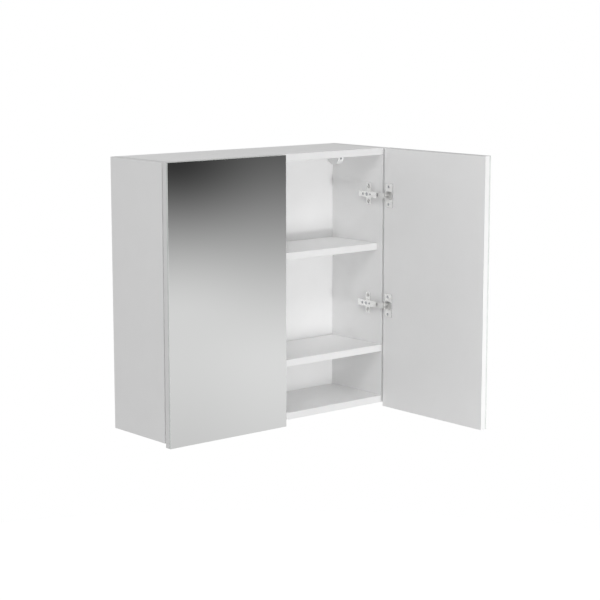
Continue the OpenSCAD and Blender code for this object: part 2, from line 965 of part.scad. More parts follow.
inner_link(right, upper_hinge_z);  // right_upper_inner_link
inner_link(right, lower_hinge_z);  // right_lower_inner_link
plate_screws();
arm_screws();
arm_pins();
cup_screws(left);  // left_cup_screws
cup_screws(right);  // right_cup_screws
cup_pins(left);  // left_cup_pins
cup_pins(right);  // right_cup_pins
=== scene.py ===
"""Looks of a mirrored wall cabinet: eased edges, finishes, studio light and camera.

Lengths are metres in the cabinet's own frame. X runs to the right and Z up, the wall is at
Y = 0, and the front looks towards -Y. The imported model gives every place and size. This
script eases the edges of its pieces, bands the edges of its boards, grinds the edges of its
mirrors and gives each surface its finish.
"""

from __future__ import annotations

import logging
import math
from dataclasses import dataclass, replace
from enum import Enum
from typing import Callable, Sequence

import bmesh
import bpy
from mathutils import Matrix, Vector


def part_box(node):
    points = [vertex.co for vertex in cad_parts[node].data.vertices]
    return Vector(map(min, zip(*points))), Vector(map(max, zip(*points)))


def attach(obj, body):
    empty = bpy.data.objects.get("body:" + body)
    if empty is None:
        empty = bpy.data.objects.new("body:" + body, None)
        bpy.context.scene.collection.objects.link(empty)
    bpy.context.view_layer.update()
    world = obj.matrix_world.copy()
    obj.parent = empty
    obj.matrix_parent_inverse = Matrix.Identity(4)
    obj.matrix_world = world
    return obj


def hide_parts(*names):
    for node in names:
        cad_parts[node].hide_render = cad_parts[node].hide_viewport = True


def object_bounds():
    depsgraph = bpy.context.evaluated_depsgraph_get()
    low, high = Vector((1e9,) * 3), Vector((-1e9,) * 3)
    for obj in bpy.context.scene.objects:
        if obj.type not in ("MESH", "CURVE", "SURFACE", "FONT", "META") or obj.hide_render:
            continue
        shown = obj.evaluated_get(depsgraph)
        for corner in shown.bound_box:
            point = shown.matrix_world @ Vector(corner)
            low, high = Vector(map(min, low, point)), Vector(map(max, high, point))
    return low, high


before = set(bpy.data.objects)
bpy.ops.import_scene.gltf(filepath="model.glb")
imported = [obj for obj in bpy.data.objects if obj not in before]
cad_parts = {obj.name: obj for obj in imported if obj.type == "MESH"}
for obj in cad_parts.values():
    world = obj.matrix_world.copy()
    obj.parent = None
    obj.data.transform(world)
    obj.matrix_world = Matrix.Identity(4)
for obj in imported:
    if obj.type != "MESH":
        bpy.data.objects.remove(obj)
cad_low, cad_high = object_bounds()

LOG = logging.getLogger("cabinet")
MM = 0.001
WHITE = (1.0, 1.0, 1.0, 1.0)
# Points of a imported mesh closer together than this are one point
WELD = 0.002 * MM
# Faces that turn less than this against each other are one flat face
FLAT_TURN = math.radians(0.3)
# Edges that turn more than this are eased
SHARP_TURN = math.radians(40)
# A face belongs to a direction if its normal turns less than this away from it
FACING = math.cos(math.radians(30))
# A face of a mirror is its silvered front if its normal turns less than this away from the front's
SILVERED_FACING = math.cos(math.radians(5))
# A face is an edge face of a sheet if its normal turns more than this away from the sheet's own
EDGE_FACING = math.cos(math.radians(60))
# Number of faces round an eased edge: of a board or a housing, of a thin part, and of a mirror
ROUND_STEPS = 3
THIN_STEPS = 2
ARRIS_STEPS = 1

Colour = tuple[float, float, float]
Triple = tuple[float, float, float]
# Two values of a pattern, between which a tone or a gloss changes
Span = tuple[float, float]
Socket = bpy.types.NodeSocket


class Side(Enum):
    """The two sides of the cabinet, as seen from the front."""

    LEFT = "left"
    RIGHT = "right"


class Level(Enum):
    """The two heights at which a door has a hinge."""

    UPPER = "upper"
    LOWER = "lower"


class Slot(Enum):
    """The material slots of the cabinet's record that its eased pieces take."""

    BOARD = "white_board"
    BACK = "back_board"
    MIRROR = "mirror"
    PLASTIC = "white_plastic"
    HINGE = "hinge_steel"
    LINK = "link_steel"
    ZINC_PLATE = "zinc_plated_steel"


class Face(Enum):
    """The six directions in which a board has a face."""

    LEFT = Vector((-1, 0, 0))
    RIGHT = Vector((1, 0, 0))
    FRONT = Vector((0, -1, 0))
    REAR = Vector((0, 1, 0))
    DOWN = Vector((0, 0, -1))
    UP = Vector((0, 0, 1))


# Faces of each door that look at the cabinet and away from it; the right door stands open
INNER = {Side.LEFT: Face.REAR, Side.RIGHT: Face.LEFT}
OUTER = {Side.LEFT: Face.FRONT, Side.RIGHT: Face.RIGHT}


class ShaderTree:
    """The node tree of one finish, with a short call for each node that finishes share."""

    def __init__(self, name: str) -> None:
        """Opens a new material.

        Args:
            name: The material's name.
        """
        self.material = bpy.data.materials.new(name)
        self.material.use_nodes = True
        self.nodes = self.material.node_tree.nodes
        self.links = self.material.node_tree.links
        self.surface = self.nodes["Principled BSDF"]

    def set(self, **values: float | tuple) -> None:
        """Sets uniform values on the surface's own sockets, by name with underscores."""
        for name, value in values.items():
            self.surface.inputs[name.replace("_", " ")].default_value = value

    def feed(self, **sockets: Socket) -> None:
        """Links sockets to the surface's inputs, by name with underscores."""
        for name, socket in sockets.items():
            self.links.new(socket, self.surface.inputs[name.replace("_", " ")])

    def place(self, stretch: Triple = (1, 1, 1)) -> Socket:
        """Gives the place on the piece, for a pattern.

        Args:
            stretch: Scale of the pattern's space along each axis.

        Returns:
            The vector socket that patterns read.
        """
        where = self.nodes.new("ShaderNodeTexCoord")
        mapping = self.nodes.new("ShaderNodeMapping")
        mapping.inputs["Scale"].default_value = stretch
        self.links.new(where.outputs["Object"], mapping.inputs["Vector"])
        return mapping.outputs["Vector"]

    def noise(self, place: Socket, size: float, detail: float = 2.0) -> Socket:
        """Adds soft noise.

        Args:
            place: The vector that the noise reads.
            size: Size of its blotches in metres.
            detail: Number of finer layers on top.

        Returns:
            The value socket, from 0 to 1.
        """
        node = self.nodes.new("ShaderNodeTexNoise")
        node.inputs["Scale"].default_value = 1 / size
        node.inputs["Detail"].default_value = detail
        self.links.new(place, node.inputs["Vector"])
        return node.outputs["Fac"]

    def cells(self, place: Socket, size: float) -> Socket:
        """Adds a pattern of cells.

        Args:
            place: The vector that the pattern reads.
            size: Size of its cells in metres.

        Returns:
            The value socket, from 0 to 1, with one value in each cell.
        """
        node = self.nodes.new("ShaderNodeTexVoronoi")
        node.inputs["Scale"].default_value = 1 / size
        self.links.new(place, node.inputs["Vector"])
        shade = self.nodes.new("ShaderNodeSeparateColor")
        self.links.new(node.outputs["Color"], shade.inputs["Color"])
        return shade.outputs["Red"]

    def span(self, value: Socket, low: float, high: float, source: Span = (0.0, 1.0)) -> Socket:
        """Maps a value onto a new range.

        Args:
            value: The value to map.
            low: Result at the low end of the source range.
            high: Result at the high end of the source range.
            source: The source range.

        Returns:
            The mapped value.
        """
        node = self.nodes.new("ShaderNodeMapRange")
        node.inputs["From Min"].default_value = source[0]
        node.inputs["From Max"].default_value = source[1]
        node.inputs["To Min"].default_value = low
        node.inputs["To Max"].default_value = high
        self.links.new(value, node.inputs["Value"])
        return node.outputs["Result"]

    def tones(self, value: Socket, stops: Sequence[float], colours: Sequence[Colour]) -> Socket:
        """Turns a value into a colour.

        Args:
            value: The value, from 0 to 1.
            stops: Values at which the colours stand.
            colours: One colour for each of the stops.

        Returns:
            The colour socket.
        """
        node = self.nodes.new("ShaderNodeValToRGB")
        ramp = node.color_ramp.elements
        while len(ramp) < len(stops):
            ramp.new(1.0)
        for element, position, colour in zip(ramp, stops, colours):
            element.position = position
            element.color = (*colour, 1.0)
        self.links.new(value, node.inputs["Fac"])
        return node.outputs["Color"]

    def relief(self, height: Socket, depth: float, below: Socket | None = None) -> Socket:
        """Adds a relief to the surface.

        Args:
            height: The height, from 0 to 1.
            depth: Depth of the relief in metres.
            below: Another relief under this one.

        Returns:
            The normal socket.
        """
        node = self.nodes.new("ShaderNodeBump")
        node.inputs["Distance"].default_value = depth
        self.links.new(height, node.inputs["Height"])
        if below is not None:
            self.links.new(below, node.inputs["Normal"])
        return node.outputs["Normal"]


def grey(tone: float) -> Colour:
    """Gives a neutral colour of that linear tone."""
    return (tone, tone, tone)


@dataclass(frozen=True)
class Laminate:
    """A white pressed laminate: fine pearl relief, with tone and gloss that vary very little."""

    name: str = "white_laminate"
    tone: float = 0.96
    tone_spread: float = 0.01
    roughness: float = 0.42
    roughness_spread: float = 0.05
    pearl_size: float = 0.9 * MM
    pearl_depth: float = 0.006 * MM
    cloud_size: float = 60 * MM
    cloud_detail: float = 3.0
    cloud_span: Span = (0.3, 0.7)

    def build(self) -> bpy.types.Material:
        """Makes the material.

        Returns:
            The material.
        """
        tree = ShaderTree(self.name)
        place = tree.place()
        clouds = tree.noise(place, self.cloud_size, self.cloud_detail)
        pearl = tree.noise(place, self.pearl_size)
        low = grey(self.tone - self.tone_spread)
        high = grey(self.tone + self.tone_spread)
        tree.feed(
            Base_Color=tree.tones(clouds, self.cloud_span, (low, high)),
            Roughness=tree.span(pearl, self.roughness - self.roughness_spread,
                                self.roughness + self.roughness_spread),
            Normal=tree.relief(pearl, self.pearl_depth),
        )
        return tree.material


@dataclass(frozen=True)
class Chipboard:
    """The raw edge of a particle board: pressed wood chips in darker glue."""

    name: str = "raw_chipboard"
    dark: Colour = (0.30, 0.20, 0.11)
    middle: Colour = (0.50, 0.37, 0.23)
    pale: Colour = (0.68, 0.54, 0.37)
    tone_stops: Triple = (0.0, 0.45, 1.0)
    chip_size: float = 1.6 * MM
    chip_stretch: Triple = (1, 1, 3)
    fibres_per_chip: float = 3.0
    fibre_stretch: Triple = (1, 1, 4)
    fibre_detail: float = 4.0
    relief_depth: float = 0.12 * MM
    roughness: float = 0.85

    def build(self) -> bpy.types.Material:
        """Makes the material.

        Returns:
            The material.
        """
        tree = ShaderTree(self.name)
        chips = tree.cells(tree.place(self.chip_stretch), self.chip_size)
        fibre_size = self.chip_size / self.fibres_per_chip
        fibres = tree.noise(tree.place(self.fibre_stretch), fibre_size, self.fibre_detail)
        tree.set(Roughness=self.roughness)
        tree.feed(
            Base_Color=tree.tones(chips, self.tone_stops, (self.dark, self.middle, self.pale)),
            Normal=tree.relief(fibres, self.relief_depth),
        )
        return tree.material


@dataclass(frozen=True)
class Silvering:
    """The silver face of a mirror seen through clear float glass."""

    name: str = "silvered_glass"
    colour: Colour = (0.93, 0.935, 0.93)
    roughness: float = 0.006
    haze: float = 0.006
    cloud_size: float = 140 * MM
    cloud_span: Span = (0.35, 0.7)

    def build(self) -> bpy.types.Material:
        """Makes the material.

        Returns:
            The material.
        """
        tree = ShaderTree(self.name)
        clouds = tree.noise(tree.place(), self.cloud_size)
        tree.set(Base_Color=(*self.colour, 1.0), Metallic=1.0)
        hazed = self.roughness + self.haze
        tree.feed(Roughness=tree.span(clouds, self.roughness, hazed, self.cloud_span))
        return tree.material


@dataclass(frozen=True)
class GroundGlass:
    """The ground and polished edge of a mirror, with faint lines along the grinding."""

    name: str = "ground_glass_edge"
    dark: Colour = (0.66, 0.69, 0.67)
    pale: Colour = (0.76, 0.79, 0.77)
    cloud_size: float = 30 * MM
    cloud_span: Span = (0.3, 0.7)
    roughness: float = 0.18
    line_roughness: float = 0.36
    line_size: float = 0.35 * MM
    line_stretch: Triple = (1, 1, 0.05)
    line_depth: float = 0.004 * MM
    refraction: float = 1.52
    polish: float = 0.5
    polish_roughness: float = 0.08

    def build(self) -> bpy.types.Material:
        """Makes the material.

        Returns:
            The material.
        """
        tree = ShaderTree(self.name)
        lines = tree.noise(tree.place(self.line_stretch), self.line_size)
        clouds = tree.noise(tree.place(), self.cloud_size)
        tree.set(IOR=self.refraction, Coat_Weight=self.polish, Coat_Roughness=self.polish_roughness)
        tree.feed(
            Base_Color=tree.tones(clouds, self.cloud_span, (self.dark, self.pale)),
            Roughness=tree.span(lines, self.roughness, self.line_roughness),
            Normal=tree.relief(lines, self.line_depth),
        )
        return tree.material


@dataclass(frozen=True)
class Metal:
    """A plated or cast metal, with fine marks along one direction and clouded gloss."""

    name: str
    colour: Colour
    roughness: float
    metallic: float = 1.0
    roughness_spread: float = 0.06
    roughness_span: Span = (0.3, 0.7)
    tone_spread: float = 0.05
    tone_span: Span = (0.35, 0.65)
    cloud_size: float = 5 * MM
    mark_size: float = 0.25 * MM
    mark_stretch: Triple = (1, 0.15, 1)
    mark_detail: float = 3.0
    mark_depth: float = 0.002 * MM
    # Grit of a blasted or cast surface; a size of zero leaves it out
    grit_size: float = 0.0
    grit_detail: float = 1.0
    grit_depth: float = 0.0

    def build(self) -> bpy.types.Material:
        """Makes the material.

        Returns:
            The material.
        """
        tree = ShaderTree(self.name)
        marks = tree.noise(tree.place(self.mark_stretch), self.mark_size, self.mark_detail)
        clouds = tree.noise(tree.place(), self.cloud_size)
        low = tuple(channel * (1 - self.tone_spread) for channel in self.colour)
        normal = tree.relief(marks, self.mark_depth)
        if self.grit_size > 0:
            grit = tree.noise(tree.place(), self.grit_size, self.grit_detail)
            normal = tree.relief(grit, self.grit_depth, normal)
        tree.set(Metallic=self.metallic)
        tree.feed(
            Base_Color=tree.tones(clouds, self.tone_span, (low, self.colour)),
            Roughness=tree.span(clouds, self.roughness - self.roughness_spread,
                                self.roughness + self.roughness_spread, self.roughness_span),
            Normal=normal,
        )
        return tree.material


@dataclass(frozen=True)
class MouldedPlastic:
    """White moulded plastic with a fine spark-eroded texture."""

    name: str = "white_moulded_plastic"
    tone: float = 0.95
    darker: float = 0.015
    paler: float = 0.01
    cloud_size: float = 12 * MM
    cloud_span: Span = (0.3, 0.7)
    roughness: float = 0.38
    smoother: float = 0.05
    rougher: float = 0.08
    grain_size: float = 0.35 * MM
    grain_detail: float = 1.0
    grain_depth: float = 0.008 * MM
    glow: float = 0.05
    glow_depth: float = 2 * MM

    def build(self) -> bpy.types.Material:
        """Makes the material.

        Returns:
            The material.
        """
        tree = ShaderTree(self.name)
        grain = tree.noise(tree.place(), self.grain_size, self.grain_detail)
        clouds = tree.noise(tree.place(), self.cloud_size)
        low, high = grey(self.tone - self.darker), grey(self.tone + self.paler)
        tree.set(Subsurface_Weight=self.glow, Subsurface_Radius=(self.glow_depth,) * 3)
        tree.feed(
            Base_Color=tree.tones(clouds, self.cloud_span, (low, high)),
            Roughness=tree.span(grain, self.roughness - self.smoother, self.roughness + self.rougher),
            Normal=tree.relief(grain, self.grain_depth),
        )
        return tree.material


@dataclass(frozen=True)
class Beech:
    """Turned beech, with grain along X and short dark flecks."""

    name: str = "turned_beech"
    dark: Colour = (0.50, 0.32, 0.18)
    pale: Colour = (0.66, 0.46, 0.28)
    grain_size: float = 1.2 * MM
    grain_stretch: Triple = (0.08, 1, 1)
    grain_detail: float = 4.0
    grain_span: Span = (0.35, 0.62)
    relief_depth: float = 0.03 * MM
    smoothest: float = 0.5
    roughest: float = 0.7

    def build(self) -> bpy.types.Material:
        """Makes the material.

        Returns:
            The material.
        """
        tree = ShaderTree(self.name)
        grain = tree.noise(tree.place(self.grain_stretch), self.grain_size, self.grain_detail)
        tree.feed(
            Base_Color=tree.tones(grain, self.grain_span, (self.dark, self.pale)),
            Roughness=tree.span(grain, self.smoothest, self.roughest),
            Normal=tree.relief(grain, self.relief_depth),
        )
        return tree.material


class Finishes:
    """Every finish of the cabinet, built once."""

    def __init__(self) -> None:
        """Builds the materials."""
        # Edge bands carry painted shade: the same white band, painted darker on level boards and less dark
        # on upright ones, for how light falls on their edges
        band = Laminate("level_band_painted_shade", tone=0.78, roughness=0.34, pearl_size=0.5 * MM,
                        pearl_depth=0.004 * MM)
        self.board = Laminate().build()
        self.band = band.build()
        self.upright_shaded_band = replace(band, name="upright_band_painted_shade", tone=0.86, roughness=0.3).build()
        self.seam = Laminate("glue_line", tone=0.72, roughness=0.6).build()
        self.back = Laminate("lacquered_hardboard", tone=0.89, roughness=0.5, pearl_size=1.6 * MM,
                             pearl_depth=0.012 * MM).build()
        self.raw = Chipboard().build()
        self.mirror = Silvering().build()
        self.glass = GroundGlass().build()
        self.hinge = Metal("nickel_plated_steel", (0.96, 0.96, 0.95), 0.26, tone_spread=0.02,
                           roughness_spread=0.02).build()
        self.cup = Metal("blasted_nickel", (0.96, 0.96, 0.95), 0.55, metallic=0.1, grit_size=0.25 * MM,
                         grit_depth=0.01 * MM).build()
        self.link = Metal("satin_nickel_steel", (0.94, 0.94, 0.93), 0.42, metallic=0.4,
                          roughness_spread=0.03).build()
        self.pin = Metal("polished_pin_steel", grey(0.86), 0.3, metallic=0.7,
                         mark_depth=0.001 * MM).build()
        self.zinc = Metal("bright_zinc_plate", (0.6, 0.61, 0.63), 0.3, tone_spread=0.1).build()
        self.screw = Metal("nickel_plated_screw", (0.72, 0.72, 0.71), 0.28).build()
        # Painted shade: a dark grey for the rim of each cup's flange, standing for the shadow line along
        # it
        self.rim_shade = Metal("flange_rim_painted_shade", grey(0.42), 0.5, metallic=0.6).build()
        self.cast = Metal("die_cast_zinc_alloy", (0.56, 0.56, 0.57), 0.45, grit_size=0.3 * MM,
                          grit_depth=0.012 * MM).build()
        self.plastic = MouldedPlastic().build()
        self.wood = Beech().build()


class Workpiece:
    """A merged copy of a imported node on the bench, to be cut, eased and handed on as a piece."""

    def __init__(self, node: str, *finishes: bpy.types.Material) -> None:
        """Copies the node's mesh and joins its triangles into whole faces.

        Args:
            node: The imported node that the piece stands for.
            finishes: The piece's materials. Every face starts with the first of them.
        """
        self.node = node
        self.finishes = finishes
        self.low, self.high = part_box(node)
        self.mesh = bmesh.new()
        self.mesh.from_mesh(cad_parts[node].data)
        bmesh.ops.remove_doubles(self.mesh, verts=self.mesh.verts, dist=WELD)
        bmesh.ops.dissolve_limit(self.mesh, angle_limit=FLAT_TURN, use_dissolve_boundaries=False,
                                 verts=self.mesh.verts[:], edges=self.mesh.edges[:], delimit=set())
        bmesh.ops.recalc_face_normals(self.mesh, faces=self.mesh.faces)
        for face in self.mesh.faces:
            face.material_index = 0

    def corner(self, face: Face) -> Vector:
        """Gives a corner of the node's box that lies on one of its faces."""
        return self.high if sum(face.value) > 0 else self.low

    def depth_below(self, face: Face, point: Vector) -> float:
        """Gives the distance of a point below one of the piece's faces."""
        return (self.corner(face) - point).dot(face.value)

    def ease(self, radius: float, steps: int = ROUND_STEPS, longer_than: float = 0.0) -> None:
        """Rounds the sharp outer edges.

        Args:
            radius: How far the rounding reaches onto each face.
            steps: Number of faces round the edge.
            longer_than: Edges up to this length stay sharp.
        """
        edges = [
            edge for edge in self.mesh.edges
            if edge.is_convex and edge.calc_face_angle(0.0) > SHARP_TURN
            and edge.calc_length() > longer_than
        ]
        bmesh.ops.bevel(self.mesh, geom=edges, offset=radius, offset_type="OFFSET", affect="EDGES",
                        segments=steps, profile=0.5, material=-1, clamp_overlap=True, miter_outer="SHARP")

    def score(self, face: Face, depth: float) -> None:
        """Cuts an edge line round the piece, parallel to one of its faces.

        Args:
            face: The face that the line runs parallel to.
            depth: Distance of the line below that face.
        """
        geometry = self.mesh.verts[:] + self.mesh.edges[:] + self.mesh.faces[:]
        bmesh.ops.bisect_plane(self.mesh, geom=geometry, dist=WELD,
                               plane_co=self.corner(face) - face.value * depth, plane_no=face.value)

    def paint(self, finish: bpy.types.Material, test: Callable[[Vector, Vector], bool]) -> None:
        """Gives one of the piece's finishes to some of its faces.

        Args:
            finish: The finish.
            test: Says of a face's centre and normal whether it takes the finish.
        """
        index = self.finishes.index(finish)
        for face in self.mesh.faces:
            if test(face.calc_center_median(), face.normal):
                face.material_index = index

    def hand_on(self, body: str) -> None:
        """Makes the piece that stands for the node.

        Args:
            body: The body that the piece rides on.
        """
        data = bpy.data.meshes.new(self.node + "_eased")
        self.mesh.to_mesh(data)
        self.mesh.free()
        for finish in self.finishes:
            data.materials.append(finish)
        data.shade_smooth()
        data.set_sharp_from_angle(angle=SHARP_TURN)
        piece = bpy.data.objects.new(self.node + "_eased", data)
        bpy.context.scene.collection.objects.link(piece)
        shading = piece.modifiers.new("even_shading", "WEIGHTED_NORMAL")
        shading.keep_sharp = True
        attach(piece, body)
        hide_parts(self.node)
        LOG.info("%s: %d faces on %s", piece.name, len(data.polygons), body)


def ease_plain(node: str, body: str, ease: float, finish: bpy.types.Material,
               steps: int = THIN_STEPS) -> None:
    """Makes an eased piece that has one finish all over.

    Args:
        node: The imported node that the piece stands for.
        body: The body that the piece rides on.
        ease: Radius of its edges.
        finish: Its material.
        steps: Number of faces round its edges.
    """
    work = Workpiece(node, finish)
    work.ease(ease, steps)
    work.hand_on(body)


def dress(node: str, finish: bpy.types.Material) -> None:
    """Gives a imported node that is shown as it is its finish.

    Args:
        node: The node's name.
        finish: The material for all of its slots.
    """
    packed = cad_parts[node]
    for place in packed.material_slots:
        place.material = finish
    LOG.info("%s: kept, finished as %s", node, finish.name)


@dataclass
class Board:
    """A laminated particle board with banded and raw edges."""

    node: str
    banded: tuple[Face, ...]
    raw: tuple[Face, ...] = ()
    # Upright boards have the paler band. Both band tones are painted shade, darker than the white board,
    # and the level boards' band is darker still, for how the light falls on their edges
    upright: bool = False
    body: str = "cabinet"
    ease: float = 0.6 * MM
    band: float = 1.0 * MM
    glue: float = 0.12 * MM
    # Edges up to this length stay sharp, as those of the holes do
    sharp_up_to: float = 6 * MM

    def build(self, finishes: Finishes) -> None:
        """Eases the board, cuts its band lines and paints its edges.

        Args:
            finishes: The finishes to take from.
        """
        # Painted shade: the band's tone depends on which way the board stands
        band = finishes.upright_shaded_band if self.upright else finishes.band
        work = Workpiece(self.node, finishes.board, band, finishes.seam, finishes.raw)
        work.ease(self.ease, longer_than=self.sharp_up_to)
        for face in self.banded:
            work.score(face, self.band)
            work.score(face, self.band + self.glue)
        for face in self.raw:
            work.paint(finishes.raw, lambda centre, normal, face=face:
                       normal.dot(face.value) > FACING and work.depth_below(face, centre) < self.glue)
        for face in self.banded:
            work.paint(finishes.seam, lambda centre, normal, face=face:
                       self.band < work.depth_below(face, centre) < self.band + self.glue)
        for face in self.banded:
            work.paint(band, lambda centre, normal, face=face:
                       work.depth_below(face, centre) < self.band)
        work.hand_on(self.body)


@dataclass
class Carcass:
    """The fixed box: side panels, top, bottom, back and fixed shelf, with their fittings."""

    finishes: Finishes
    back_ease: float = 0.3 * MM
    side_bands: tuple[Face, ...] = (Face.FRONT, Face.UP, Face.DOWN)
    cross_bands: tuple[Face, ...] = (Face.FRONT,)
    raw_edges: tuple[Face, ...] = (Face.REAR,)

    def build(self) -> None:
        """Makes the boards."""
        for side in Side:
            panel = Board(side.value + "_side_panel", self.side_bands, self.raw_edges, upright=True)
            panel.build(self.finishes)
        for node in ("top_panel", "bottom_panel", "fixed_shelf"):
            Board(node, self.cross_bands, self.raw_edges).build(self.finishes)
        ease_plain("back_panel", "cabinet", self.back_ease, self.finishes.back)

    def dress(self) -> None:
        """Finishes the hidden fittings."""
        dress("dowels", self.finishes.wood)
        dress("cam_bolts", self.finishes.zinc)
        dress("cam_discs", self.finishes.cast)


@dataclass
class Shelving:
    """The loose shelf and the four pins under it."""

    finishes: Finishes

    def build(self) -> None:
        """Makes the shelf."""
        Board("loose_shelf", (Face.FRONT,), (Face.REAR,)).build(self.finishes)

    def dress(self) -> None:
        """Finishes the shelf pins."""
        dress("shelf_pins", self.finishes.zinc)


@dataclass
class Hanger:
    """A moulded housing in an upper rear corner, with its wall hook."""

    finishes: Finishes
    side: Side
    housing_ease: float = 0.5 * MM
    hook_ease: float = 0.25 * MM

    def build(self) -> None:
        """Makes the housing and the hook."""
        name = self.side.value + "_hanger_"
        ease_plain(name + "housing", "cabinet", self.housing_ease, self.finishes.plastic,
                   ROUND_STEPS)
        ease_plain(name + "hook", "cabinet", self.hook_ease, self.finishes.zinc)


@dataclass
class Door:
    """A door: a banded board with a mirror glued over its whole front."""

    finishes: Finishes
    side: Side
    board_ease: float = 0.5 * MM
    # The short edges at the board's four corners stay sharp too
    sharp_up_to: float = 30 * MM
    arris: float = 0.5 * MM

    def build(self) -> None:
        """Makes the board and the mirror."""
        body = self.side.value + "_door"
        front = OUTER[self.side]
        uprights = (Face.FRONT, Face.REAR) if front is Face.RIGHT else (Face.LEFT, Face.RIGHT)
        Board(body + "_board", (*uprights, Face.UP, Face.DOWN), upright=True, body=body,
              ease=self.board_ease, sharp_up_to=self.sharp_up_to).build(self.finishes)
        glass = self.finishes.glass
        pane = Workpiece(body + "_mirror", self.finishes.mirror, glass)
        pane.ease(self.arris, ARRIS_STEPS)
        pane.paint(glass, lambda centre, normal: normal.dot(front.value) < SILVERED_FACING)
        pane.hand_on(body)


@dataclass
class CupHinge:
    """One hinge: cup, arm, two links and mounting plate."""

    finishes: Finishes
    side: Side
    level: Level
    plate_ease: float = 0.4 * MM
    arm_ease: float = 0.3 * MM
    cup_ease: float = 0.25 * MM
    # Faces less than this below the cup's own face are its flange, and deeper ones its inside
    flange: float = 1.05 * MM
    link_ease: float = 0.2 * MM

    def build(self) -> None:
        """Makes the hinge's pressed parts."""
        name = f"{self.side.value}_{self.level.value}_"
        hinge, link = self.finishes.hinge, self.finishes.link
        ease_plain(name + "mounting_plate", "cabinet", self.plate_ease, hinge)
        ease_plain(name + "hinge_arm", "cabinet", self.arm_ease, hinge)
        self.build_cup(name + "hinge_cup")
        for part in ("outer_link", "inner_link"):
            ease_plain(name + part, name + part + "_body", self.link_ease, link)

    def build_cup(self, node: str) -> None:
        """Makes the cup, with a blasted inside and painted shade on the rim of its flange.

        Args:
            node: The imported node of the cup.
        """
        inside, rim_shade = self.finishes.cup, self.finishes.rim_shade
        inner = INNER[self.side]
        cup = Workpiece(node, self.finishes.hinge, inside, rim_shade)
        cup.ease(self.cup_ease, THIN_STEPS)
        cup.paint(inside, lambda centre, normal: cup.depth_below(inner, centre) > self.flange)
        # The flange's rim takes painted shade, a dark line where the flange's edge lies in shade
        cup.paint(rim_shade, lambda centre, normal: cup.depth_below(inner, centre) < self.flange
                  and abs(normal.dot(inner.value)) < EDGE_FACING)
        cup.hand_on(self.side.value + "_door")


@dataclass
class SmallParts:
    """Screws and pins that are shown as they are packed."""

    finishes: Finishes
    nickel_screws: tuple[str, ...] = ("plate_screws",)
    zinc_screws: tuple[str, ...] = ("hanger_screws", "arm_screws", "left_cup_screws", "right_cup_screws")
    pins: tuple[str, ...] = ("arm_pins", "left_cup_pins", "right_cup_pins")

    def dress(self) -> None:
        """Finishes the screws and pins."""
        for node in self.nickel_screws:
            dress(node, self.finishes.screw)
        for node in self.zinc_screws:
            dress(node, self.finishes.zinc)
        for node in self.pins:
            dress(node, self.finishes.pin)


@dataclass(frozen=True)
class Softbox:
    """A round soft lamp, which matt surfaces see and mirrors don't."""

    name: str
    place: Triple
    target: Triple
    size: float
    power: float

    def hang(self) -> None:
        """Hangs the lamp and turns it to its target."""
        data = bpy.data.lights.new(self.name, "AREA")
        data.shape = "DISK"
        data.size = self.size
        data.energy = self.power
        lamp = bpy.data.objects.new(self.name, data)
        lamp.location = self.place
        lamp.rotation_mode = "QUATERNION"
        lamp.rotation_quaternion = (Vector(self.target) - Vector(self.place)).to_track_quat("-Z", "Y")
        lamp.visible_glossy = False
        bpy.context.scene.collection.objects.link(lamp)
        LOG.info("%s: hung", lamp.name)


